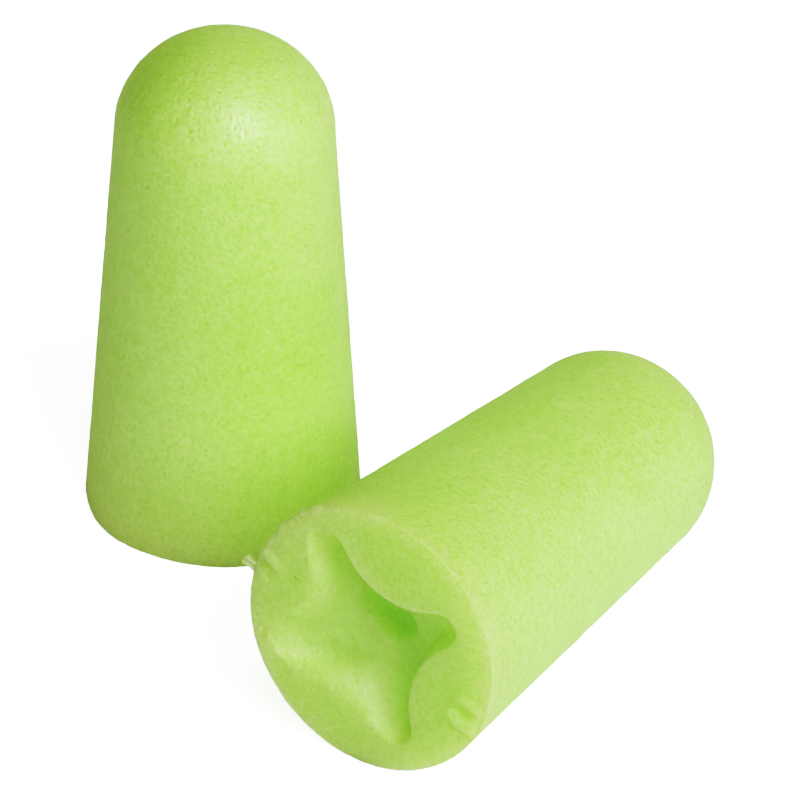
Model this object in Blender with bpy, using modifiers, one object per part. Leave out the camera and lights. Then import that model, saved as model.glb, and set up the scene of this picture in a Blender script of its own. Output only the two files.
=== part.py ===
"""A pair of tapered foam ear plugs.

Both plugs are the same moulding: a tapered body with a domed tip and, in the
wide flat end, a shallow four-lobed hollow with a small pit near its middle.
One plug stands on its wide end, the other lies on its side in front of it (-Y)
and has a small tag of foam on its rim.

Units are metres, +Z is up, and the origin is on the ground under the middle
of the pair. Each plug is built upright in its own frame: the wide end is
centred on the frame's origin and the tip points along the frame's +Z.
"""

import math

import bmesh
import bpy
from mathutils import Matrix, Vector

MM = 0.001

# --- the moulding, measured along its own axis from the wide end ------------
BASE_RADIUS = 6.50 * MM
PLUG_LENGTH = 24.90 * MM
SHOULDER_HEIGHT = 20.20 * MM  # where the taper ends and the dome starts
SHOULDER_RADIUS = 5.115 * MM
BASE_EDGE_RADIUS = 0.20 * MM
TAPER_ANGLE = math.atan2(BASE_RADIUS - SHOULDER_RADIUS, SHOULDER_HEIGHT)
TURN_STEPS = 64
DOME_STEPS = 9
SIDE_STEPS = 5
BASE_EDGE_STEPS = 3
TURN_MERGE_DISTANCE = 0.01 * MM

# --- the star-shaped ramp of the hollow -------------------------------------
# Four round lobes joined by bulges that swell in towards the axis. The first
# two bulges stay well out from the axis, the other two come nearer to it.
LOBE_DIRECTIONS = (-22.0, 68.5, 147.5, 241.5)  # degrees round the axis
# One entry for each ring of the ramp, mouth first. Each holds six groups of
# four, one value for each lobe or for the bulge that follows it:
#   distance of the lobe's centre from the axis, radius of the lobe,
#   nearest the bulge comes to the axis,
#   depth at the lobe, depth at the bulge (all in mm), turn of the lobe (degrees)
RAMP = (
    ((4.28, 4.43, 4.65, 4.25), (0.98, 1.26, 1.07, 0.91), (3.78, 3.63, 2.69, 2.70),
     (0.04, 0.04, 0.04, 0.04), (0.04, 0.04, 0.04, 0.04), (0, 0, 0, 0)),
    ((4.27, 4.32, 4.60, 4.24), (0.90, 1.15, 0.98, 0.84), (3.45, 3.30, 2.60, 2.60),
     (0.18, 0.22, 0.21, 0.15), (0.16, 0.16, 0.18, 0.17), (0, -1, 0, 0)),
    ((4.26, 4.12, 4.50, 4.22), (0.80, 1.04, 0.91, 0.79), (3.22, 3.07, 2.53, 2.53),
     (0.44, 0.49, 0.50, 0.30), (0.36, 0.38, 0.42, 0.40), (-1, -3, 1, 0)),
    ((4.20, 3.72, 4.26, 4.12), (0.60, 0.94, 0.80, 0.73), (2.92, 2.77, 2.41, 2.41),
     (1.10, 0.90, 1.05, 0.56), (0.63, 0.80, 0.96, 0.93), (-3, -6, 2, 0)),
    ((3.92, 3.24, 3.75, 3.84), (0.45, 0.82, 0.67, 0.67), (2.61, 2.46, 2.26, 2.25),
     (1.62, 1.24, 1.53, 0.84), (0.98, 1.24, 1.51, 1.48), (-5, -9, 3, 0)),
    ((3.36, 2.70, 3.12, 3.27), (0.37, 0.73, 0.57, 0.61), (2.26, 2.14, 2.04, 2.01),
     (1.91, 1.49, 1.87, 1.15), (1.30, 1.58, 1.91, 1.79), (-6, -11, 4, 0)),
    ((2.60, 2.14, 2.40, 2.50), (0.40, 0.66, 0.53, 0.59), (1.92, 1.82, 1.80, 1.78),
     (2.05, 1.69, 2.03, 1.48), (1.62, 1.84, 2.09, 1.94), (-5, -10, 4, 0)),
)
LOBE_POINTS = 9
BULGE_POINTS = 12
BULGE_SOLVER_STEPS = 30

# The cutter's first ring lies outside the wide end, so that it cuts through the flat.
MOUTH_SPREAD = 1.03
MOUTH_Z = -0.3 * MM

# --- the rounded pit where the lobes meet -----------------------------------
PIT_X = -0.50 * MM
PIT_Y = 0.15 * MM
PIT_DEPTH = 2.89 * MM
PIT_LONG_WAY = math.radians(130.0)
PIT_STRETCH = 0.16  # the pit is this much longer one way and shorter the other
PIT_EVENING = 0.4  # how far each ring takes the points towards even spacing
# (radius, depth) of each ring in mm, widest first
PIT_RINGS = ((1.42, 2.10), (1.30, 2.24), (1.14, 2.48), (0.92, 2.70), (0.52, 2.85))

# --- tag on the rim of the lying plug ---------------------------------------
TAG_ANGLE = math.radians(102.0)
TAG_REACH = 0.62 * MM  # beyond the base radius
TAG_ROOT = 0.80 * MM  # sunk inside the base radius
TAG_WIDTH = 0.70 * MM
TAG_HEIGHT = 0.34 * MM
TAG_START = 0.12 * MM  # from the wide end to the tag's near side
TAG_BEVEL = 0.07 * MM
TAG_BEVEL_SEGMENTS = 2

# --- where the two plugs are ------------------------------------------------
STANDING_X = -8.20 * MM
STANDING_Y = 9.20 * MM
STANDING_TURN = math.radians(90.0)
LYING_X = STANDING_X + 7.00 * MM  # middle of the lying plug's wide end
LYING_Y = STANDING_Y - 21.35 * MM
LYING_HEADING = 0.996  # radians from +X to the way the lying plug's tip points

FOAM_GREEN = (0.455, 0.700, 0.140, 1.0)
FOAM_ROUGHNESS = 0.75


# --- scene, material and object helpers -------------------------------------
def clear_scene():
    for obj in list(bpy.data.objects):
        bpy.data.objects.remove(obj, do_unlink=True)
    for collection in list(bpy.data.collections):
        bpy.data.collections.remove(collection)


def make_collection(name):
    collection = bpy.data.collections.new(name)
    bpy.context.scene.collection.children.link(collection)
    return collection


def foam_material(name):
    material = bpy.data.materials.new(name)
    material.use_nodes = True
    shader = material.node_tree.nodes["Principled BSDF"]
    shader.inputs["Base Color"].default_value = FOAM_GREEN
    shader.inputs["Roughness"].default_value = FOAM_ROUGHNESS
    shader.inputs["Metallic"].default_value = 0.0
    material.diffuse_color = FOAM_GREEN
    return material


def link_object(name, data, collection):
    obj = bpy.data.objects.new(name, data)
    collection.objects.link(obj)
    return obj


def as_cutter(obj, frame):
    """Hide a boolean helper from renders and carry it with its plug's frame."""
    obj.display_type = "WIRE"
    obj.hide_render = True
    obj.parent = frame
    return obj


def add_boolean(obj, other, operation):
    modifier = obj.modifiers.new(operation.lower(), "BOOLEAN")
    modifier.operation = operation
    modifier.solver = "EXACT"
    modifier.object = other


# --- the body ---------------------------------------------------------------
def body_profile():
    """The body's half section as (radius, height), from the tip down to the axis."""
    points = [(0.0, PLUG_LENGTH)]
    dome_height = PLUG_LENGTH - SHOULDER_HEIGHT
    for i in range(1, DOME_STEPS):
        angle = 0.5 * math.pi * (1.0 - i / DOME_STEPS)
        height = SHOULDER_HEIGHT + dome_height * math.sin(angle)
        points.append((SHOULDER_RADIUS * math.cos(angle), height))

    # the straight taper stops where the rounded base edge begins
    edge_start_radius = BASE_RADIUS - BASE_EDGE_RADIUS * math.tan(TAPER_ANGLE)
    for i in range(SIDE_STEPS + 1):
        share = i / SIDE_STEPS
        radius = SHOULDER_RADIUS + share * (edge_start_radius - SHOULDER_RADIUS)
        height = SHOULDER_HEIGHT + share * (BASE_EDGE_RADIUS - SHOULDER_HEIGHT)
        points.append((radius, height))

    for i in range(1, BASE_EDGE_STEPS + 1):
        angle = 0.5 * math.pi * i / BASE_EDGE_STEPS
        radius = edge_start_radius - BASE_EDGE_RADIUS * (1.0 - math.cos(angle))
        points.append((radius, BASE_EDGE_RADIUS - BASE_EDGE_RADIUS * math.sin(angle)))
    points.append((0.0, 0.0))
    return points


def turned_body(name, collection):
    """The solid plug: the half section turned once around Z."""
    points = body_profile()
    mesh = bpy.data.meshes.new(name)
    mesh.from_pydata(
        [(radius, 0.0, height) for radius, height in points],
        [(i, i + 1) for i in range(len(points) - 1)],
        [],
    )
    obj = link_object(name, mesh, collection)
    screw = obj.modifiers.new("turn", "SCREW")
    screw.axis = "Z"
    screw.angle = 2.0 * math.pi
    screw.steps = TURN_STEPS
    screw.render_steps = TURN_STEPS
    screw.use_merge_vertices = True
    screw.merge_threshold = TURN_MERGE_DISTANCE
    return obj


# --- the hollow -------------------------------------------------------------
def heading(start, end):
    """Angle of the way from one point to another, seen along the axis."""
    return math.atan2(end.y - start.y, end.x - start.x)


def circle_point(centre, radius, angle, depth):
    return Vector(
        (centre.x + radius * math.cos(angle), centre.y + radius * math.sin(angle), depth)
    )


def bulge_circle(lobe, lobe_radius, following, following_radius, waist):
    """Centre and radius of the circle that touches two lobes and keeps waist from the axis."""
    # first guess: exact for two equal lobes a right angle apart
    middle_way = (lobe.normalized() + following.normalized()).normalized()
    lean = waist - 0.5 * (lobe_radius + following_radius)
    reach = 0.5 * (lobe.length + following.length)
    start = middle_way * (reach**2 - lean**2) / (math.sqrt(2.0) * reach - 2.0 * lean)
    x, y, radius = start.x, start.y, start.length - waist

    # Newton's method on the gaps to the two lobes and to the waist circle
    axis = Vector((0.0, 0.0))
    touched = ((lobe, lobe_radius), (following, following_radius), (axis, waist))
    for _ in range(BULGE_SOLVER_STEPS):
        misses, slopes = [], []
        for centre, size in touched:
            offset = Vector((x, y)) - centre
            misses.append(offset.length - radius - size)
            slopes.append((offset.x / offset.length, offset.y / offset.length, -1.0))
        step = Matrix(slopes).inverted() @ Vector(misses)
        x, y, radius = x - step.x, y - step.y, radius - step.z
    return Vector((x, y)), radius


def ramp_ring(row):
    """One ring of the ramp: four lobes joined by bulges that meet them without a corner."""
    distances, radii, waists, lobe_depths, bulge_depths, turns = row
    lobes = []
    for direction, turn, distance in zip(LOBE_DIRECTIONS, turns, distances):
        angle = math.radians(direction + turn)
        lobes.append(Vector((distance * math.cos(angle), distance * math.sin(angle))))
    count = len(lobes)
    bulges = []
    for i in range(count):
        j = (i + 1) % count
        bulges.append(bulge_circle(lobes[i], radii[i], lobes[j], radii[j], waists[i]))

    points = []
    for i in range(count):
        j = (i + 1) % count
        bulge, bulge_radius = bulges[i]

        # anticlockwise round the lobe, from the bulge before it to the one after
        start = heading(lobes[i], bulges[i - 1][0])
        sweep = (heading(lobes[i], bulge) - start) % (2.0 * math.pi)
        for step in range(LOBE_POINTS):
            angle = start + sweep * step / LOBE_POINTS
            points.append(circle_point(lobes[i], radii[i], angle, lobe_depths[i]))

        # clockwise round the bulge, its depth eased from the lobes to its middle
        start = heading(bulge, lobes[i])
        sweep = (start - heading(bulge, lobes[j])) % (2.0 * math.pi)
        for step in range(BULGE_POINTS):
            share = step / BULGE_POINTS
            end_depth = lobe_depths[i] if share < 0.5 else lobe_depths[j]
            swell = 1.0 - abs(2.0 * share - 1.0)
            swell = swell * swell * (3.0 - 2.0 * swell)
            depth = end_depth + (bulge_depths[i] - end_depth) * swell
            points.append(circle_point(bulge, bulge_radius, start - sweep * share, depth))
    return [point * MM for point in points]


def pit_rings(last_ramp_ring):
    """Rings that carry the ramp's last ring on into the pit."""
    # angles round the pit's middle, kept free of jumps of a whole turn
    angles = []
    for point in last_ramp_ring:
        angle = math.atan2(point.y - PIT_Y, point.x - PIT_X)
        while angles and angle < angles[-1] - math.pi:
            angle += 2.0 * math.pi
        while angles and angle > angles[-1] + math.pi:
            angle -= 2.0 * math.pi
        angles.append(angle)

    # evenly spaced angles, shifted to fit the ramp's points on average
    count = len(angles)
    even_angles = [angles[0] + 2.0 * math.pi * i / count for i in range(count)]
    shift = sum(angle - even for angle, even in zip(angles, even_angles)) / count

    rings = []
    for i, (radius, depth) in enumerate(PIT_RINGS):
        evenness = min(1.0, PIT_EVENING * (i + 1))
        ring = []
        for ramp_angle, even in zip(angles, even_angles):
            angle = ramp_angle + (even + shift - ramp_angle) * evenness
            stretch = 1.0 + PIT_STRETCH * math.cos(2.0 * (angle - PIT_LONG_WAY))
            reach = radius * MM * stretch
            x = PIT_X + reach * math.cos(angle)
            y = PIT_Y + reach * math.sin(angle)
            ring.append(Vector((x, y, depth * MM)))
        rings.append(ring)
    return rings


def hollow_cutter(name, collection, frame):
    """The hollow as a closed solid, lofted through its rings."""
    rings = [ramp_ring(row) for row in RAMP]
    rings += pit_rings(rings[-1])
    mouth = [Vector((p.x * MOUTH_SPREAD, p.y * MOUTH_SPREAD, MOUTH_Z)) for p in rings[0]]
    rings.insert(0, mouth)

    bm = bmesh.new()
    loops = [[bm.verts.new(point) for point in ring] for ring in rings]
    count = len(mouth)
    bm.faces.new(list(reversed(loops[0])))
    for outer, inner in zip(loops, loops[1:]):
        for i in range(count):
            j = (i + 1) % count
            bm.faces.new((outer[i], outer[j], inner[j], inner[i]))
    pit_bottom = bm.verts.new((PIT_X, PIT_Y, PIT_DEPTH))
    for i in range(count):
        bm.faces.new((loops[-1][i], loops[-1][(i + 1) % count], pit_bottom))
    bmesh.ops.triangulate(bm, faces=[face for face in bm.faces if len(face.verts) == 4])
    bmesh.ops.recalc_face_normals(bm, faces=bm.faces)

    mesh = bpy.data.meshes.new(name)
    bm.to_mesh(mesh)
    bm.free()
    return as_cutter(link_object(name, mesh, collection), frame)


# --- the tag ----------------------------------------------------------------
def tag_block(name, collection, frame):
    """A small soft-edged block that sticks out from the rim."""
    bpy.ops.mesh.primitive_cube_add(size=1.0)
    obj = bpy.context.object
    obj.name = name
    obj.data.name = name
    for other in list(obj.users_collection):
        other.objects.unlink(obj)
    collection.objects.link(obj)

    length = TAG_ROOT + TAG_REACH
    middle = BASE_RADIUS - TAG_ROOT + 0.5 * length
    for vertex in obj.data.vertices:
        x, y, z = vertex.co
        vertex.co = (middle + x * length, y * TAG_WIDTH, TAG_START + (z + 0.5) * TAG_HEIGHT)
    bevel = obj.modifiers.new("soft", "BEVEL")
    bevel.width = TAG_BEVEL
    bevel.segments = TAG_BEVEL_SEGMENTS
    obj.rotation_euler = (0.0, 0.0, TAG_ANGLE)
    return as_cutter(obj, frame)


# --- the plugs --------------------------------------------------------------
def make_plug(name, parts, cutters, material, location, rotation, has_tag):
    """One plug, built upright at its frame's origin; the frame puts it in its place."""
    plug = turned_body(name, parts)
    plug.data.materials.append(material)
    frame = link_object(name + "_frame", None, parts)
    frame.location = location
    frame.rotation_euler = rotation
    plug.parent = frame
    add_boolean(plug, hollow_cutter(name + "_hollow", cutters, frame), "DIFFERENCE")
    if has_tag:
        add_boolean(plug, tag_block(name + "_tag", cutters, frame), "UNION")


def main():
    clear_scene()
    parts = make_collection("foam_ear_plugs")
    cutters = make_collection("cutters")
    make_plug(
        "plug_standing",
        parts,
        cutters,
        foam_material("standing_foam"),
        location=(STANDING_X, STANDING_Y, 0.0),
        rotation=(0.0, 0.0, STANDING_TURN),
        has_tag=False,
    )
    # on its side the plug touches the ground along one straight line of its taper
    make_plug(
        "plug_lying",
        parts,
        cutters,
        foam_material("lying_foam"),
        location=(LYING_X, LYING_Y, BASE_RADIUS * math.cos(TAPER_ANGLE)),
        rotation=(0.0, 0.5 * math.pi + TAPER_ANGLE, LYING_HEADING),
        has_tag=True,
    )


main()
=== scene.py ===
"""A pair of lime foam ear plugs: one stands on its wide end, one lies on its side.

Each plug is a cone with a domed tip and a four-lobed hollow in its wide end. It is shaped in
face coordinates, in millimetres: p to the right and q up as one looks into the wide end, and
z the depth from the wide end towards the tip. Points are scaled to metres when a mesh is made.
In the scene +Z is up and the camera looks towards +Y, so the wide end of the lying plug,
whose tip points to +X +Y, is seen from the camera.
"""

import math

import bpy
import numpy as np
from mathutils import Matrix, Vector


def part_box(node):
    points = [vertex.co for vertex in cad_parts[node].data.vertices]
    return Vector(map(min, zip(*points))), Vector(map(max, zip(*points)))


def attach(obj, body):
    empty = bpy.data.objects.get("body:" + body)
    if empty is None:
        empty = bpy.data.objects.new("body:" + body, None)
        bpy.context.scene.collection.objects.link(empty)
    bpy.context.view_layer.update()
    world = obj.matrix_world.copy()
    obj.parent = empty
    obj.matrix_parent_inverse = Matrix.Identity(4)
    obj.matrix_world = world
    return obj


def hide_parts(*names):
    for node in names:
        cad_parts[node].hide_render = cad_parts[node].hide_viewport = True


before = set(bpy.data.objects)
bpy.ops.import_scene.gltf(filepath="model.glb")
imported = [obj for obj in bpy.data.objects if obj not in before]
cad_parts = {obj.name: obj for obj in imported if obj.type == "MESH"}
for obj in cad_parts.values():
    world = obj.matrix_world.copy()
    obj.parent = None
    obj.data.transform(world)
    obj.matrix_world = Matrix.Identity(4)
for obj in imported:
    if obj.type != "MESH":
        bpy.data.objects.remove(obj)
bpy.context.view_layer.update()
MM = 0.001

# ---------------------------------------------------------------------------
# sizes of a plug, in mm
# ---------------------------------------------------------------------------
WIDE_RADIUS = 6.50
LENGTH = 24.90
SHOULDER_Z = 20.20  # where the cone ends and the dome begins
SHOULDER_RADIUS = 5.115
DOME_HEIGHT = LENGTH - SHOULDER_Z
LEAN = math.atan2(WIDE_RADIUS - SHOULDER_RADIUS, SHOULDER_Z)  # of the cone's side

RIM_TIGHT_AT = 15.0  # degrees round the rim where its rounding is tightest
RIM_SOFT_ROUND = 0.15
RIM_TIGHT_ROUND = 0.05
EVEN_ABOVE = 6.0  # depth from which the samples round the side are evenly spaced

# samples round the plug
AROUND_TIP = 36  # round one lobe's end
AROUND_BULGE = 84  # along the bulge between two lobes
AROUND = 4 * (AROUND_TIP + AROUND_BULGE)
# rows of samples, from the tip to the floor of the hollow
DOME_ROWS, SIDE_ROWS, EDGE_ROWS, FACE_ROWS, HOLLOW_ROWS = 38, 200, 9, 24, 84
EDGE_START = DOME_ROWS + SIDE_ROWS + 1
FACE_START = EDGE_START + EDGE_ROWS
HOLLOW_START = FACE_START + FACE_ROWS - 1

# ---------------------------------------------------------------------------
# the hollow, in mm
# ---------------------------------------------------------------------------
# Lobes are listed from the one at the right, anticlockwise; a bulge comes after its lobe.
LOBE_ANGLES = np.radians([28.5, 122.5, 201.5, 292.0])
# One level a row, mouth first, each list by lobe: distance of the lobe's centre from the axis,
# lobe radius, distance of the bulge from the axis, / depth at the lobe, depth at the bulge,
# turn of the lobe in degrees.
LEVELS = [
    ([4.25, 4.65, 4.45, 4.28], [0.95, 1.12, 1.30, 1.02], [2.74, 3.80, 3.95, 2.75],
     [0.00, 0.00, 0.00, 0.00], [0.00, 0.00, 0.00, 0.00], [0, 0, 0, 0]),
    ([4.25, 4.65, 4.40, 4.28], [0.87, 1.02, 1.20, 0.94], [2.64, 3.45, 3.60, 2.64],
     [0.00, 0.00, 0.00, 0.00], [0.00, 0.00, 0.00, 0.00], [0, 0, 0, 0]),
    ([4.23, 4.52, 4.20, 4.26], [0.80, 0.92, 1.06, 0.82], [2.54, 3.10, 3.26, 2.54],
     [0.28, 0.44, 0.46, 0.36], [0.34, 0.32, 0.28, 0.32], [0, -1, 3, 1]),
    ([4.15, 4.28, 3.72, 4.22], [0.74, 0.80, 0.94, 0.60], [2.42, 2.78, 2.94, 2.42],
     [0.56, 1.06, 1.03, 1.12], [0.96, 0.80, 0.63, 0.95], [0, -2, 6, 3]),
    ([3.93, 3.80, 3.25, 3.98], [0.67, 0.66, 0.82, 0.44], [2.28, 2.46, 2.62, 2.26],
     [0.84, 1.56, 1.44, 1.66], [1.54, 1.24, 0.98, 1.52], [0, -3, 9, 5]),
    ([3.35, 3.15, 2.70, 3.40], [0.60, 0.56, 0.74, 0.36], [2.05, 2.14, 2.26, 2.02],
     [1.14, 1.90, 1.60, 1.94], [1.98, 1.58, 1.30, 1.82], [0, -4, 11, 6]),
    ([2.50, 2.40, 2.12, 2.60], [0.58, 0.52, 0.66, 0.40], [1.80, 1.82, 1.92, 1.78],
     [1.48, 2.06, 1.72, 2.06], [2.12, 1.84, 1.62, 1.96], [0, -4, 10, 5]),
]
# the oval pit in the middle: centre, and (radius, depth) going down
PIT_CENTRE = np.array([-0.15, 0.50])
PIT_LEVELS = [
    (1.46, 2.06), (1.33, 2.18), (1.22, 2.34), (1.10, 2.52),
    (0.96, 2.68), (0.76, 2.80), (0.46, 2.87), (0.15, 2.89),
]
PIT_STRETCH = 0.16  # share added to the radius along the long axis
PIT_LONG_AXIS = math.radians(140.0)
HOLLOW_DEPTH = PIT_LEVELS[-1][1]

# ---------------------------------------------------------------------------
# where the two plugs are: origin, right, up and axis, in mm
# ---------------------------------------------------------------------------
box_low, box_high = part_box("plug_standing")
STANDING_ORIGIN = np.array(
    [(box_low.x + box_high.x) / 2, (box_low.y + box_high.y) / 2, box_low.z]
) / MM
STANDING_FRAME = (
    STANDING_ORIGIN,
    np.array([1.0, 0.0, 0.0]),
    np.array([0.0, -1.0, 0.0]),
    np.array([0.0, 0.0, 1.0]),
)
# the lying plug rests on its cone, so its axis dips towards the tip by the side's lean
HEADING = 0.996  # radians from +X towards +Y
LYING_ORIGIN = STANDING_ORIGIN + np.array([7.00, -21.35, WIDE_RADIUS * math.cos(LEAN)])
LYING_RIGHT = np.array([math.sin(HEADING), -math.cos(HEADING), 0.0])
LYING_AXIS = np.array(
    [
        math.cos(HEADING) * math.cos(LEAN),
        math.sin(HEADING) * math.cos(LEAN),
        -math.sin(LEAN),
    ]
)
LYING_FRAME = (LYING_ORIGIN, LYING_RIGHT, np.cross(LYING_RIGHT, LYING_AXIS), LYING_AXIS)


# ---------------------------------------------------------------------------
# noise and easing
# ---------------------------------------------------------------------------
class Noise:
    """Gradient noise on points, seeded, about -0.8 to 0.8."""

    SIZE = 512  # a power of two, so that SIZE - 1 masks a cell number

    def __init__(self, seed):
        rng = np.random.RandomState(seed)
        self.shuffle = rng.permutation(self.SIZE)
        gradients = rng.normal(size=(self.SIZE, 3))
        self.gradients = gradients / np.linalg.norm(gradients, axis=1)[:, None]

    def __call__(self, points, scale):
        scaled = points / scale
        cell = np.floor(scaled).astype(np.int64)
        inside = scaled - cell
        fade = inside**3 * (inside * (inside * 6 - 15) + 10)
        total = np.zeros(len(points))
        for corner in np.ndindex(2, 2, 2):
            weight = np.ones(len(points))
            pick = np.zeros(len(points), np.int64)
            for i, step in enumerate(corner):
                weight = weight * (fade[:, i] if step else 1 - fade[:, i])
                pick = self.shuffle[(pick + cell[:, i] + step) & (self.SIZE - 1)]
            total += weight * (self.gradients[pick] * (inside - np.array(corner))).sum(1)
        return total


def smooth(x, low, high):
    """0 below low, 1 above high, eased between."""
    t = np.clip((x - low) / (high - low), 0.0, 1.0)
    return t * t * (3 - 2 * t)


def bell(x, middle, half):
    """1 at middle, 0 beyond half, eased between."""
    return smooth(1 - np.abs(x - middle) / half, 0.0, 1.0)


def polar(points):
    """Angle in degrees and radius round the plug's axis."""
    angle = np.degrees(np.arctan2(points[:, 1], points[:, 0]))
    return angle, np.hypot(points[:, 0], points[:, 1])


def sector(angle, middle, half):
    """A bell round the plug's axis, in degrees."""
    return bell((angle - middle + 180.0) % 360.0 - 180.0, 0.0, half)


def toward_tight_rim(angle):
    """1 at the tightest part of the rim, -1 opposite it; angle in degrees."""
    return np.cos(np.radians(angle - RIM_TIGHT_AT))


# ---------------------------------------------------------------------------
# the four-lobed outline
# ---------------------------------------------------------------------------
def touching_circle(lobe_a, radius_a, lobe_b, radius_b, waist, guess):
    """Centre and radius of the circle that touches two lobe circles and the waist circle.

    It touches all three from outside; the waist circle is centred on the axis.
    """
    state = np.array([guess[0], guess[1], np.linalg.norm(guess) - waist])
    circles = ((lobe_a, radius_a), (lobe_b, radius_b), (np.zeros(2), waist))
    for _ in range(40):
        gaps = []
        slopes = []
        for centre, radius in circles:
            away = state[:2] - centre
            distance = np.linalg.norm(away)
            gaps.append(distance - state[2] - radius)
            slopes.append([away[0] / distance, away[1] / distance, -1.0])
        step = np.linalg.solve(np.array(slopes), np.array(gaps))
        state = state - step
        if np.abs(step).max() < 1e-10:
            break
    return state[:2], state[2]


def bearing(vector):
    return math.atan2(vector[1], vector[0])


def arc(centre, radius, start, turn, count):
    """Points along an arc, without its last one."""
    angle = start + turn * np.arange(count) / count
    return centre + radius * np.c_[np.cos(angle), np.sin(angle)]


def outline(angles, centres, radii, waists):
    """Points round the four lobes and the bulges between them, anticlockwise."""
    tips = [c * np.array([math.cos(a), math.sin(a)]) for a, c in zip(angles, centres)]
    bulges = []
    for k in range(4):
        n = (k + 1) % 4
        middle = tips[k] / np.linalg.norm(tips[k]) + tips[n] / np.linalg.norm(tips[n])
        middle /= np.linalg.norm(middle)
        # exact for two equal lobes a quarter turn apart, a first guess for the rest
        excess = waists[k] - 0.5 * (radii[k] + radii[n])
        mean = 0.5 * (centres[k] + centres[n])
        away = (mean * mean - excess * excess) / (math.sqrt(2) * mean - 2 * excess)
        bulges.append(
            touching_circle(tips[k], radii[k], tips[n], radii[n], waists[k], middle * away)
        )
    arcs = []
    for k in range(4):
        before = bulges[k - 1][0]
        after, bulge_radius = bulges[k]
        start = bearing(before - tips[k])
        turn = (bearing(after - tips[k]) - start) % (2 * math.pi)
        arcs.append(arc(tips[k], radii[k], start, turn, AROUND_TIP))
        start = bearing(tips[k] - after)
        turn = (start - bearing(tips[(k + 1) % 4] - after)) % (2 * math.pi)
        arcs.append(arc(after, bulge_radius, start, -turn, AROUND_BULGE))
    return np.concatenate(arcs)


# ---------------------------------------------------------------------------
# the hollow
# ---------------------------------------------------------------------------
def around_depth(lobes, bulges):
    """Depth of one level at every sample round the hollow."""
    along = np.arange(AROUND_BULGE) / AROUND_BULGE
    blend = smooth(1 - np.abs(2 * along - 1), 0.0, 1.0)
    parts = []
    for k in range(4):
        nearer_lobe = np.where(along < 0.5, lobes[k], lobes[(k + 1) % 4])
        parts.append(np.full(AROUND_TIP, lobes[k]))
        parts.append(nearer_lobe + (bulges[k] - nearer_lobe) * blend)
    return np.concatenate(parts)


def blur_ring(ring, width):
    """Ease a ring round its corners; width is in samples."""
    reach = int(3 * width)
    shifts = np.arange(-reach, reach + 1)
    weights = np.exp(-0.5 * (shifts / width) ** 2)
    weights /= weights.sum()
    return sum(weight * np.roll(ring, k, axis=0) for k, weight in zip(shifts, weights))


def spline_rings(control, count):
    """A clamped cubic B-spline through rings of control points, without its last ring."""
    n = len(control)
    knots = np.concatenate([[0, 0, 0], np.linspace(0, 1, n - 2), [1, 1, 1]])
    rings = []
    for u in np.linspace(0, 1, count + 1)[:-1]:
        weights = ((knots[:-1] <= u) & (u < knots[1:])).astype(float)
        for degree in range(1, 4):
            raised = np.zeros(len(weights) - 1)
            for i in range(len(raised)):
                rise = knots[i + degree] - knots[i]
                fall = knots[i + degree + 1] - knots[i + 1]
                if rise > 0:
                    raised[i] += (u - knots[i]) / rise * weights[i]
                if fall > 0:
                    raised[i] += (knots[i + degree + 1] - u) / fall * weights[i + 1]
            weights = raised
        rings.append(np.einsum("i,ijk->jk", weights, control))
    return rings


def hollow_rings():
    """Rings from the flat edge of the mouth to the floor: a smooth loft through the levels."""
    control = []
    for i, (centres, radii, waists, lobes, bulges, turns) in enumerate(LEVELS):
        ring = outline(LOBE_ANGLES + np.radians(turns), centres, radii, waists)
        blur = 3.0 + 2.0 * i  # softer corners further down
        control.append(blur_ring(np.c_[ring, around_depth(lobes, bulges)], blur))
    # the pit's first rings ease from the last level's angles and depths to even ones
    last = control[-1]
    last_angle = np.unwrap(np.arctan2(last[:, 1] - PIT_CENTRE[1], last[:, 0] - PIT_CENTRE[0]))
    last_depth = last[:, 2]
    even = last_angle[0] + np.arange(AROUND) / AROUND * 2 * math.pi
    even += np.mean(last_angle - even)
    for i, (radius, depth) in enumerate(PIT_LEVELS):
        t = smooth((i + 1) / 4.0, 0.0, 1.0)
        angle = last_angle + (even - last_angle) * t
        oval = radius * (1 + PIT_STRETCH * np.cos(2 * (angle - PIT_LONG_AXIS)))
        control.append(
            np.c_[
                PIT_CENTRE[0] + oval * np.cos(angle),
                PIT_CENTRE[1] + oval * np.sin(angle),
                depth + (last_depth - last_depth.mean()) * (1 - t),
            ]
        )
    return spline_rings(np.array(control), HOLLOW_ROWS)


# ---------------------------------------------------------------------------
# the plug
# ---------------------------------------------------------------------------
def side_radius(z):
    return WIDE_RADIUS + (SHOULDER_RADIUS - WIDE_RADIUS) * z / SHOULDER_Z


def rim_round(angle):
    """Rounding radius between side and flat: tight on one half, soft on the other."""
    tight = smooth(toward_tight_rim(np.degrees(angle)), -0.15, 0.80)
    return RIM_SOFT_ROUND - (RIM_SOFT_ROUND - RIM_TIGHT_ROUND) * tight


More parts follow.
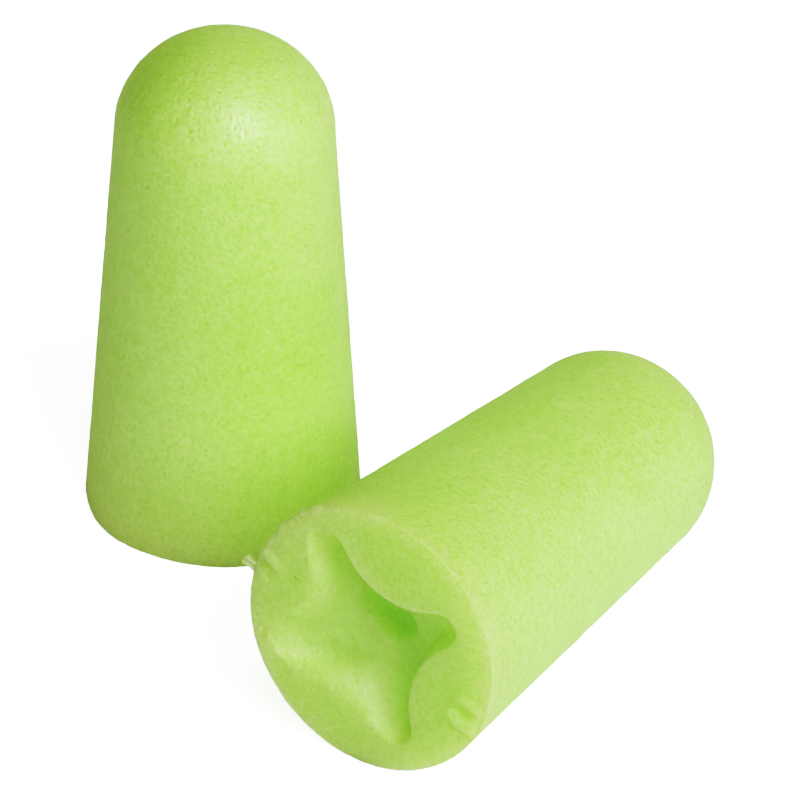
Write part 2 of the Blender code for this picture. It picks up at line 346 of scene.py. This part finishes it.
def plug_grid():
    """Rows of points from the tip, down the side, across the wide end and into the hollow."""
    rings = hollow_rings()
    mouth = rings[0][:, :2]
    even = np.arange(AROUND) / AROUND * 2 * math.pi
    mouth_angle = np.unwrap(np.arctan2(mouth[:, 1], mouth[:, 0]))
    even = even + np.mean(mouth_angle - even)
    # samples are even along the side, and lean towards the mouth's near the wide end
    leaning = 0.75 * even + 0.25 * mouth_angle
    grid = []

    def row(radius, z):
        z = np.broadcast_to(z, AROUND)
        t = smooth(z, 0.0, EVEN_ABOVE)
        angle = even * t + leaning * (1 - t)
        grid.append(np.c_[radius * np.cos(angle), radius * np.sin(angle), z])

    for i in range(1, DOME_ROWS + 1):
        a = 0.5 * math.pi * (1 - i / (DOME_ROWS + 1.0))
        row(SHOULDER_RADIUS * math.cos(a), SHOULDER_Z + DOME_HEIGHT * math.sin(a))
    rim = rim_round(leaning)
    for i in range(SIDE_ROWS + 1):
        z = SHOULDER_Z + (rim - SHOULDER_Z) * i / SIDE_ROWS
        row(side_radius(z), z)
    for a in np.radians(np.linspace(0, 90, EDGE_ROWS + 1)[1:]):
        row(side_radius(rim) - rim * (1 - math.cos(a)), rim * (1 - math.sin(a)))
    edge = grid[-1][:, :2]
    for i in range(1, FACE_ROWS):
        grid.append(np.c_[edge + (mouth - edge) * i / FACE_ROWS, np.zeros(AROUND)])
    return np.array(grid + rings)


def grid_normals(grid, tip, floor):
    """Unit normals that point out of the foam."""
    along = np.roll(grid, -1, axis=1) - np.roll(grid, 1, axis=1)
    end_shape = (1,) + grid.shape[1:]
    padded = np.concatenate(
        [np.broadcast_to(tip, end_shape), grid, np.broadcast_to(floor, end_shape)]
    )
    normals = np.cross(padded[2:] - padded[:-2], along)
    return normals / (np.linalg.norm(normals, axis=2)[:, :, None] + 1e-12)


def plug_faces(rows, cols):
    """Quads between the rows, and a fan at the tip and at the hollow's floor."""
    r = np.arange(rows - 1)[:, None] * cols
    c = np.arange(cols)[None, :]
    n = (c + 1) % cols
    quads = np.stack([r + c, r + n, r + cols + n, r + cols + c], axis=2)
    faces = quads.reshape(-1, 4).tolist()
    tip, floor = rows * cols, rows * cols + 1
    last = (rows - 1) * cols
    faces += [(tip, (k + 1) % cols, k) for k in range(cols)]
    faces += [(floor, last + k, last + (k + 1) % cols) for k in range(cols)]
    return faces


def link_object(name, data):
    obj = bpy.data.objects.new(name, data)
    bpy.context.scene.collection.objects.link(obj)
    return obj


def foam_object(name, points, faces, frame):
    """A smooth mesh from points in face coordinates.

    Face coordinates are left-handed, so faces wound clockwise in them look outward.
    """
    origin, right, up, axis = frame
    world_points = origin + points[:, :1] * right + points[:, 1:2] * up + points[:, 2:3] * axis
    mesh = bpy.data.meshes.new(name)
    mesh.from_pydata((world_points * MM).tolist(), [], faces)
    mesh.update()
    mesh.shade_smooth()
    return link_object(name, mesh)


def spot_field(points, spots):
    """1 at the middle of each (place, radius) spot, 0 outside them."""
    field = np.zeros(len(points))
    for place, radius in spots:
        field = np.maximum(field, bell(np.linalg.norm(points - place, axis=1), 0.0, radius))
    return field


def build_plug(name, frame, seed, warp, relief, specks=(), shiny=()):
    grid = plug_grid()
    shape = grid.shape
    grid = warp(grid.reshape(-1, 3)).reshape(shape)
    tip = np.array([0.0, 0.0, LENGTH])
    floor = np.array([PIT_CENTRE[0], PIT_CENTRE[1], HOLLOW_DEPTH])
    normals = grid_normals(grid, tip, floor).reshape(-1, 3)

    # fields for the material, one value a grid point
    deep, wide_end, edge = np.zeros((3,) + shape[:2])
    deep[HOLLOW_START:] = np.clip(grid[HOLLOW_START:, :, 2], 0, None)
    wide_end[FACE_START:] = 1 - smooth(deep[FACE_START:], 0.1, 0.6)
    edge_angle = polar(grid[EDGE_START:FACE_START].reshape(-1, 3))[0]
    edge[EDGE_START:FACE_START] = smooth(
        toward_tight_rim(edge_angle), -0.15, 0.70
    ).reshape(EDGE_ROWS, AROUND)

    flat = grid.reshape(-1, 3)
    flat = flat + normals * relief(flat, Noise(seed))[:, None]
    points = np.vstack([flat, tip, floor])
    obj = foam_object(name, points, plug_faces(*shape[:2]), frame)
    # the last two values of a field are the tip's and the floor's
    fields = {
        "hollow_depth": np.append(deep, [0, HOLLOW_DEPTH]),
        "wide_end": np.append(wide_end, [0, 0]),
        "edge": np.append(edge, [0, 0]),
        "speck": spot_field(points, specks),
        "shiny": spot_field(points, shiny),
    }
    for field_name, values in fields.items():
        attribute = obj.data.attributes.new(field_name, "FLOAT", "POINT")
        attribute.data.foreach_set("value", values.astype(np.float32))
    return obj


# ---------------------------------------------------------------------------
# relief: heights in mm along the normals, above 0 a bump, below 0 a pit
# ---------------------------------------------------------------------------
# layers of noise on the moulded skin: height, shift of the points, scale
SKIN_LAYERS = [
    (0.024, 0.0, 3.1), (0.014, 31.7, 0.98), (0.016, -17.3, 0.46),
    (0.019, 5.9, 0.27), (0.010, -40.3, 0.19),
]
PORE_COUNT = 420
PORE_DEPTH = 0.028
PORE_RADII = (0.10, 0.20)
PORE_BUMP_SHARE = 0.35  # height of the tallest bump as a share of the deepest pit


def dimple(points, place, radius, height):
    """A round bump or pit."""
    return height * bell(np.linalg.norm(points - np.array(place), axis=1), 0.0, radius)


def stroke(points, path, half_width, height):
    """A ridge or groove along a path."""
    nearest = np.full(len(points), 9.0)  # further than any stroke reaches
    for start, end in zip(path, path[1:]):
        start = np.array(start)
        span = np.array(end) - start
        t = np.clip((points - start) @ span / (span @ span), 0, 1)
        distance = np.linalg.norm(points - start - t[:, None] * span, axis=1)
        nearest = np.minimum(nearest, distance)
    return height * bell(nearest, 0.0, half_width)


def skin(points, noise, pore_seed):
    """Fine relief of the foam skin, with small pits and low bumps at random places."""
    height = sum(layer * noise(points + shift, scale) for layer, shift, scale in SKIN_LAYERS)
    rng = np.random.RandomState(pore_seed)
    order = np.argsort(points[:, 2], kind="stable")
    level = points[order, 2]
    for _ in range(PORE_COUNT):
        place = points[rng.randint(len(points))]
        radius = rng.uniform(*PORE_RADII)
        # only the points at about the pore's depth can lie inside it
        first, last = np.searchsorted(level, [place[2] - radius, place[2] + radius])
        near = order[first:last]
        pore_height = rng.uniform(-PORE_DEPTH, PORE_BUMP_SHARE * PORE_DEPTH)
        height[near] += dimple(points[near], place, radius, pore_height)
    return height


def push_out(points, radius, grow):
    """Move points away from the axis by grow."""
    points[:, :2] *= (1 + grow / np.maximum(radius, 0.1))[:, None]


# ---------------------------------------------------------------------------
# the standing plug's own shape
# ---------------------------------------------------------------------------
# a patch of pits and blisters on the front of the dome: p, q, z, radius, height
STANDING_SPOTS = [
    (0.62, 3.92, 23.12, 0.15, -0.076), (0.90, 3.86, 23.13, 0.14, -0.085),
    (1.12, 3.98, 22.99, 0.15, -0.076), (0.78, 4.10, 22.92, 0.14, -0.085),
    (0.50, 4.16, 22.88, 0.15, -0.068), (1.00, 4.20, 22.78, 0.15, -0.076),
    (0.70, 4.34, 22.60, 0.16, -0.060), (1.28, 3.78, 23.12, 0.13, -0.068),
    (0.34, 3.98, 23.10, 0.12, -0.060), (0.78, 3.97, 23.06, 0.09, 0.051),
    (0.95, 4.04, 22.97, 0.08, 0.051), (0.60, 4.20, 22.82, 0.09, 0.043),
    (1.40, 4.26, 22.46, 0.17, 0.050), (1.95, 3.33, 23.28, 0.16, 0.085),
    (-1.52, 3.50, 23.33, 0.14, 0.068), (-1.56, 3.72, 23.09, 0.13, 0.085),
    (1.68, 1.29, 24.48, 0.18, 0.044), (-0.20, 3.62, 23.42, 0.13, -0.051),
]
# creases on the side, at the front left: paths of (p, q, z)
STANDING_CREASES = [
    [(-4.62, 3.20, 13.40), (-4.42, 3.52, 12.85), (-4.30, 3.68, 12.20)],
    [(-4.70, 3.05, 14.60), (-4.46, 3.36, 14.10)],
    [(-4.25, 3.55, 16.10), (-3.95, 3.85, 15.80)],
    [(-3.55, 4.30, 12.40), (-3.25, 4.60, 11.80)],
    [(-4.90, 2.60, 17.40), (-4.70, 2.85, 16.90)],
]
CREASE_HALF_WIDTH = 0.20
CREASE_HEIGHT = -0.030
# the closed, shinier skin round the patch: place, radius
STANDING_SHINY = [((0.85, 4.02, 22.95), 1.30)]


def warp_standing(points):
    """Spread the foam a little near the floor and pinch it just above the shoulder."""
    angle, radius = polar(points)
    grow = 0.15 * sector(angle, 143.0, 30.0) * bell(points[:, 2], 0.5, 1.7)
    grow -= 0.05 * sector(angle, 148.0, 40.0) * bell(points[:, 2], 20.8, 1.8)
    push_out(points, radius, grow * smooth(radius, 4.0, 6.0))
    return points


def relief_standing(points, noise):
    height = skin(points, noise, pore_seed=71)
    for *place, radius, spot_height in STANDING_SPOTS:
        height += dimple(points, place, radius, spot_height)
    for path in STANDING_CREASES:
        height += stroke(points, path, CREASE_HALF_WIDTH, CREASE_HEIGHT)
    return height


# ---------------------------------------------------------------------------
# the lying plug's own shape
# ---------------------------------------------------------------------------
# ridges and grooves on the flat beside the rim: path of (p, q, z), half width, height
LYING_STROKES = [
    ([(4.93, -1.07, 0.0), (5.48, -1.38, 0.0), (5.95, -1.62, 0.05)], 0.42, 0.160),
    ([(4.49, -2.09, 0.0), (5.02, -2.46, 0.0), (5.60, -2.74, 0.05)], 0.46, 0.200),
    ([(4.80, -1.66, 0.0), (5.70, -2.06, 0.0)], 0.30, -0.100),
    ([(4.34, -2.56, 0.0), (4.90, -2.96, 0.0), (5.30, -3.10, 0.05)], 0.30, -0.090),
    ([(-5.72, 2.46, 0.0), (-5.25, 2.20, 0.0)], 0.42, 0.150),
    ([(-5.92, 2.10, 0.0), (-5.58, 1.78, 0.0)], 0.34, -0.140),
    ([(-5.85, 1.36, 0.0), (-5.62, 1.16, 0.0)], 0.28, 0.080),
    ([(-5.66, -1.50, 0.0), (-5.38, -1.42, 0.0), (-5.08, -1.70, 0.0)], 0.24, -0.090),
]
# bumps and pits on the flat: p, q, radius, height
LYING_SPOTS = [
    (-4.09, 1.84, 0.13, -0.14), (-3.30, 4.33, 0.20, 0.060),
    (-4.70, 0.62, 0.15, 0.035), (4.10, 3.30, 0.14, 0.030),
]
# small dark specks, painted shade of small holes along the rim and of one pit: place, radius
LYING_SHADE_SPECKS = [
    ((-6.50, 0.42, 0.10), 0.14), ((-6.42, -0.95, 0.08), 0.10),
    ((-6.20, -2.00, 0.10), 0.10), ((-5.05, -4.07, 0.10), 0.14),
    ((-5.62, -3.25, 0.08), 0.09), ((-3.28, -5.60, 0.08), 0.11),
    ((-2.45, -6.02, 0.08), 0.12), ((-4.09, 1.84, 0.05), 0.12),
]


def warp_lying(points):
    angle, radius = polar(points)
    # the top of the rim is pressed out
    grow = 0.24 * sector(angle, 112.0, 42.0) * (1 - smooth(points[:, 2], 0.0, 3.6))
    push_out(points, radius, grow * smooth(radius, 4.8, 6.3))
    # and the flat of the wide end falls away a little towards the rim at the right
    fall = np.clip((radius - 4.5) / 2.0, 0, 1) ** 2
    fall *= smooth(toward_tight_rim(angle), -0.1, 0.75)
    points[:, 2] += 0.24 * fall * (1 - smooth(points[:, 2], 0.1, 2.6))
    return points


def relief_lying(points, noise):
    height = skin(points, noise, pore_seed=93)
    # ragged flash on the rim: thick at the upper left, thin all round
    angle, radius = polar(points)
    to_rim = np.hypot(radius - (WIDE_RADIUS + 0.12), points[:, 2] - 0.05)
    thick = np.clip(noise(points + 61.0, 0.34) + 0.20, 0, None) * sector(angle, 131.0, 34.0)
    thin = np.clip(noise(points + 11.0, 0.5), 0, None)
    height += 0.32 * thick * bell(to_rim, 0.0, 0.42)
    height += 0.10 * thin * bell(to_rim, 0.0, 0.30)
    for path, half_width, stroke_height in LYING_STROKES:
        height += stroke(points, path, half_width, stroke_height)
    for p, q, spot_radius, spot_height in LYING_SPOTS:
        height += dimple(points, (p, q, 0.0), spot_radius, spot_height)
    return height


# ---------------------------------------------------------------------------
# the tag of flash on the left of the lying plug's rim
# ---------------------------------------------------------------------------
TAG_ROOT = np.array([-6.05, 1.38, 0.24])
TAG_END = np.array([-6.92, 1.84, 0.10])
TAG_STEPS, TAG_AROUND = 22, 40
TAG_SQUARENESS = 0.6  # power on the section's cosine and sine; 1 is an ellipse
TAG_TAPER_FROM = 0.90  # share of the length where the end starts to close
TAG_RIB_HEIGHT, TAG_RIB_AT, TAG_RIB_WIDTH = 0.045, 0.62, 0.25  # last two in half widths


def build_tag():
    """A flat strip that leans out, with two ribs on its face away from the tip."""
    along = (TAG_END - TAG_ROOT) / np.linalg.norm(TAG_END - TAG_ROOT)
    across = np.cross([0.0, 0.0, 1.0], along)
    across /= np.linalg.norm(across)
    out = np.cross(along, across)
    points = []
    for i in range(TAG_STEPS + 1):
        t = i / TAG_STEPS
        closing = max(0.0, (t - TAG_TAPER_FROM) / (1 - TAG_TAPER_FROM))
        shrink = math.sqrt(1 - closing**2 * 0.75)
        width = (0.29 - 0.04 * t + 0.012 * math.sin(9 * t)) * shrink
        thick = (0.15 - 0.02 * t) * shrink
        centre = TAG_ROOT + (TAG_END - TAG_ROOT) * t + out * 0.02 * math.sin(5 * t)
        for k in range(TAG_AROUND):
            a = 2 * math.pi * k / TAG_AROUND
            x = math.copysign(abs(math.cos(a)) ** TAG_SQUARENESS, math.cos(a))
            y = math.copysign(abs(math.sin(a)) ** TAG_SQUARENESS, math.sin(a))
            rib = 0.0
            if y < 0:
                rib = TAG_RIB_HEIGHT * math.exp(-(((abs(x) - TAG_RIB_AT) / TAG_RIB_WIDTH) ** 2))
            points.append(centre + across * (width * x) + out * (thick * y - rib))
    root, end = len(points), len(points) + 1
    points += [TAG_ROOT, TAG_END]

    ring = [(k, (k + 1) % TAG_AROUND) for k in range(TAG_AROUND)]
    last = TAG_STEPS * TAG_AROUND
    faces = []
    for i in range(0, last, TAG_AROUND):
        following = i + TAG_AROUND
        faces += [(following + k, following + n, i + n, i + k) for k, n in ring]
    for k, n in ring:
        faces.append((k, n, root))
        faces.append((last + n, last + k, end))
    return foam_object("foam_tag_lying", np.array(points), faces, LYING_FRAME)


# ---------------------------------------------------------------------------
# foam material
# ---------------------------------------------------------------------------
FOAM_DEEP = (0.515, 0.860, 0.255, 1)
FOAM_PALE = (0.645, 0.960, 0.395, 1)
# painted: a more saturated green for the flat, which is not paled by sheen as the sides are
FOAM_FLAT_SHEENLESS = (0.300, 0.960, 0.180, 1)
# painted light: a paler green laid into the hollow
FOAM_HOLLOW_LIGHT = (0.800, 0.990, 0.620, 1)
# painted shade: a darker green for the tight side of the rim, dimming the light line along it
FOAM_EDGE_SHADE = (0.400, 0.760, 0.190, 1)
# painted shade: a darker green for the middles of the open cells
FOAM_PIT_SHADE = (0.330, 0.640, 0.120, 1)
# painted shade: near black for the specks
FOAM_SPECK_SHADE = (0.09, 0.12, 0.04, 1)


class MaterialNodes:
    """A new material and short ways to add nodes to it."""

    def __init__(self, name):
        self.material = bpy.data.materials.new(name)
        self.material.use_nodes = True
        self.tree = self.material.node_tree
        self.shader = self.tree.nodes["Principled BSDF"]

    def set_inputs(self, node, inputs):
        """Link each input that is given a socket, and set the others."""
        for key, value in inputs.items():
            if isinstance(value, bpy.types.NodeSocket):
                self.tree.links.new(value, node.inputs[key])
            else:
                node.inputs[key].default_value = value

    def add(self, kind, inputs, **settings):
        node = self.tree.nodes.new(kind)
        for key, value in settings.items():
            setattr(node, key, value)
        self.set_inputs(node, inputs)
        return node.outputs

    def noise(self, vector, scale, detail, roughness, distortion=0.0):
        inputs = {
            "Scale": scale,
            "Detail": detail,
            "Roughness": roughness,
            "Distortion": distortion,
            "Vector": vector,
        }
        return self.add("ShaderNodeTexNoise", inputs)["Fac"]

    def math(self, operation, a, b):
        return self.add("ShaderNodeMath", {0: a, 1: b}, operation=operation)[0]

    def scaled(self, value, factor):
        return self.math("MULTIPLY", value, factor)

    def mix(self, factor, a, b):
        inputs = {"Factor": factor, "A": a, "B": b}
        return self.add("ShaderNodeMix", inputs, data_type="RGBA", clamp_factor=True)["Result"]

    def eased(self, value, low, high):
        inputs = {"From Min": low, "From Max": high, "Value": value}
        outputs = self.add("ShaderNodeMapRange", inputs, interpolation_type="SMOOTHSTEP")
        return outputs["Result"]

    def attribute(self, name):
        return self.add("ShaderNodeAttribute", {}, attribute_name=name)["Fac"]


def foam_material(name, seed):
    m = MaterialNodes(name)
    coord = m.add("ShaderNodeTexCoord", {})["Object"]
    shift = (seed * 0.13, seed * 0.07, -seed * 0.05)
    place = m.add("ShaderNodeMapping", {"Location": shift, "Vector": coord})["Vector"]
    grain = m.noise(place, scale=4300.0, detail=2.0, roughness=0.55)
    fine = m.noise(place, scale=1900.0, detail=3.0, roughness=0.6, distortion=0.4)
    broad = m.noise(place, scale=260.0, detail=3.0, roughness=0.55)

    # mottle: paler and deeper green in patches of three sizes
    tone = m.scaled(m.eased(grain, low=0.34, high=0.66), 0.48)
    tone = m.math("ADD", tone, m.scaled(m.eased(fine, low=0.34, high=0.66), 0.30))
    tone = m.math("ADD", tone, m.scaled(m.eased(broad, low=0.32, high=0.68), 0.22))
    colour = m.mix(tone, FOAM_DEEP, FOAM_PALE)

    # open cells: small pits all over the skin, some deeper than others, their middles darkened
    # with painted shade
    cells = m.add("ShaderNodeTexVoronoi", {"Scale": 3700.0, "Vector": place})
    lot = m.add("ShaderNodeSeparateColor", {"Color": cells["Color"]})["Red"]
    pit = m.math("SUBTRACT", 1.0, m.eased(cells["Distance"], low=0.0, high=0.62))
    pit = m.math("MULTIPLY", pit, m.math("ADD", m.scaled(lot, 0.8), 0.2))
    colour = m.mix(m.scaled(pit, 0.19), colour, FOAM_PIT_SHADE)

    # tints of the flat, the rim, the hollow and the specks, each of them painted light or shade
    wide_end = m.attribute("wide_end")
    # painted: the flat is tinted a more saturated green, standing in for the sheen it lacks
    colour = m.mix(m.scaled(wide_end, 0.10), colour, FOAM_FLAT_SHEENLESS)
    edge = m.attribute("edge")
    # painted shade along the tight side of the rim
    colour = m.mix(m.scaled(edge, 0.34), colour, FOAM_EDGE_SHADE)
    depth = m.eased(m.attribute("hollow_depth"), low=0.10, high=0.80)
    # painted light in the hollow, paler with depth
    colour = m.mix(m.scaled(depth, 0.20), colour, FOAM_HOLLOW_LIGHT)
    # painted shade in the specks
    colour = m.mix(m.scaled(m.attribute("speck"), 0.85), colour, FOAM_SPECK_SHADE)

    # the flat and the tight side of the rim shine less
    rough = m.math("ADD", m.scaled(fine, 0.20), 0.43)
    rough = m.math("SUBTRACT", rough, m.scaled(m.attribute("shiny"), 0.24))
    shine = m.math("SUBTRACT", 1.0, m.scaled(wide_end, 0.20))
    shine = m.math("SUBTRACT", shine, m.scaled(edge, 0.70))

    relief = m.math("ADD", m.scaled(grain, 0.45), m.scaled(fine, 0.35))
    relief = m.math("SUBTRACT", relief, m.scaled(pit, 0.40))
    bump_inputs = {"Strength": 0.75, "Distance": 0.00012, "Height": relief}
    shader_inputs = {
        "Base Color": colour,
        "Roughness": rough,
        "Specular IOR Level": shine,
        "Subsurface Weight": 0.65,
        "Subsurface Radius": (0.8, 1.0, 0.6),
        "Subsurface Scale": 0.006,
        "Normal": m.add("ShaderNodeBump", bump_inputs)["Normal"],
    }
    m.set_inputs(m.shader, shader_inputs)
    return m.material


# ---------------------------------------------------------------------------
# floor, camera and light, in metres
# ---------------------------------------------------------------------------
FLOOR_HALF = 3.0
PITCH, ROLL = 0.59685452, 0.0148986430  # radians; pitch is downward
CAMERA_OFFSET = np.array([8.2717023, -411.12563559, 284.59510934])  # from the standing plug, mm
LIGHT_DISTANCE = 1.0
LIGHT_SIZE = 0.54


def make_floor():
    h = FLOOR_HALF
    mesh = bpy.data.meshes.new("floor")
    mesh.from_pydata([(-h, -h, 0), (h, -h, 0), (h, h, 0), (-h, h, 0)], [], [(0, 1, 2, 3)])
    floor = link_object("floor", mesh)
    m = MaterialNodes("floor_paint")
    # the floor glows a little, more to the camera than to the foam
    seen = m.add("ShaderNodeLightPath", {})["Is Camera Ray"]
    glow_inputs = {"To Min": 0.05, "To Max": 0.72, "Value": seen}
    shader_inputs = {
        "Base Color": (0.93, 0.93, 0.93, 1),
        "Roughness": 0.9,
        "Specular IOR Level": 0.1,
        "Emission Color": (1, 1, 1, 1),
        "Emission Strength": m.add("ShaderNodeMapRange", glow_inputs)["Result"],
    }
    m.set_inputs(m.shader, shader_inputs)
    mesh.materials.append(m.material)


def make_camera():
    forward = np.array([0, math.cos(PITCH), -math.sin(PITCH)])
    level_right = np.array([1.0, 0, 0])
    level_down = np.cross(forward, level_right)
    right = math.cos(ROLL) * level_right - math.sin(ROLL) * level_down
    down = math.sin(ROLL) * level_right + math.cos(ROLL) * level_down
    place = STANDING_ORIGIN * MM + CAMERA_OFFSET * MM
    lens = bpy.data.cameras.new("camera")
    camera = link_object("camera", lens)
    rows = np.column_stack([right, -down, -forward, place]).tolist()
    camera.matrix_world = Matrix(rows + [[0.0, 0.0, 0.0, 1.0]])
    lens.sensor_width = 36.0
    lens.lens = 476.823986
    lens.clip_start = 0.01
    lens.clip_end = 20.0
    bpy.context.scene.camera = camera


def soft_light(name, elevation, turn, power):
    """A disk aimed at the scene's origin.

    Angles are in degrees; turn goes from the camera's side of the scene to the right.
    """
    light = bpy.data.lights.new(name, "AREA")
    light.shape = "DISK"
    light.size = LIGHT_SIZE
    light.energy = power
    obj = link_object(name, light)
    e, t = math.radians(elevation), math.radians(turn - 90.0)
    toward = Vector((math.cos(e) * math.cos(t), math.cos(e) * math.sin(t), math.sin(e)))
    toward.normalize()
    obj.location = toward * LIGHT_DISTANCE
    obj.rotation_euler = toward.to_track_quat("Z", "Y").to_euler()
    return obj


def make_lights():
    soft_light("key", elevation=35, turn=47, power=3.30)
    soft_light("front", elevation=35, turn=12, power=0.92)
    soft_light("top", elevation=67, turn=5, power=2.15)
    soft_light("right", elevation=12, turn=90, power=0.40)
    # light from behind warms the foam through its top and leaves no shine
    back = soft_light("back", elevation=12, turn=180, power=2.50)
    back.visible_glossy = False

    world = bpy.data.worlds.new("studio")
    bpy.context.scene.world = world
    world.use_nodes = True
    background = world.node_tree.nodes["Background"]
    background.inputs["Color"].default_value = (1, 1, 1, 1)
    background.inputs["Strength"].default_value = 0.0


def set_tone():
    view = bpy.context.scene.view_settings
    view.view_transform = "Standard"
    view.look = "None"
    view.exposure = 0.0
    view.gamma = 1.0
    view.use_curve_mapping = True
    mapping = view.curve_mapping
    # a plain photographic tone curve: a short toe and a long shoulder
    combined, blue = mapping.curves[3], mapping.curves[2]
    for x in (0.04, 0.10, 0.20, 0.32, 0.46, 0.62, 0.80):
        combined.points.new(x, 5.0 * x**1.5 / (1.0 + 4.0 * x**1.5))
    # and a deeper toe in blue, as a camera gives to strong greens
    toe_end = 0.366
    for x in (0.05, 0.10, 0.15, 0.20, 0.25, 0.30, toe_end):
        blue.points.new(x, x * (x / toe_end) ** 0.55)
    blue.points.new(0.60, 0.60)
    mapping.update()


# ---------------------------------------------------------------------------
# build
# ---------------------------------------------------------------------------
standing = build_plug(
    "foam_plug_standing",
    STANDING_FRAME,
    seed=11,
    warp=warp_standing,
    relief=relief_standing,
    shiny=STANDING_SHINY,
)
lying = build_plug(
    "foam_plug_lying",
    LYING_FRAME,
    seed=29,
    warp=warp_lying,
    relief=relief_lying,
    specks=LYING_SHADE_SPECKS,
)
lying_tag = build_tag()

for plug, material_seed in ((standing, 3), (lying, 8)):
    plug.data.materials.append(foam_material(plug.name + "_skin", material_seed))
lying_tag.data.materials.append(lying.data.materials[0])

for obj, solid, mover in (
    (standing, "plug_standing", "standing_plug"),
    (lying, "plug_lying", "lying_plug"),
    (lying_tag, "plug_lying", "lying_plug"),
):
    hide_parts(solid)
    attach(obj, mover)

make_floor()
make_camera()
make_lights()
set_tone()

bpy.context.view_layer.update()
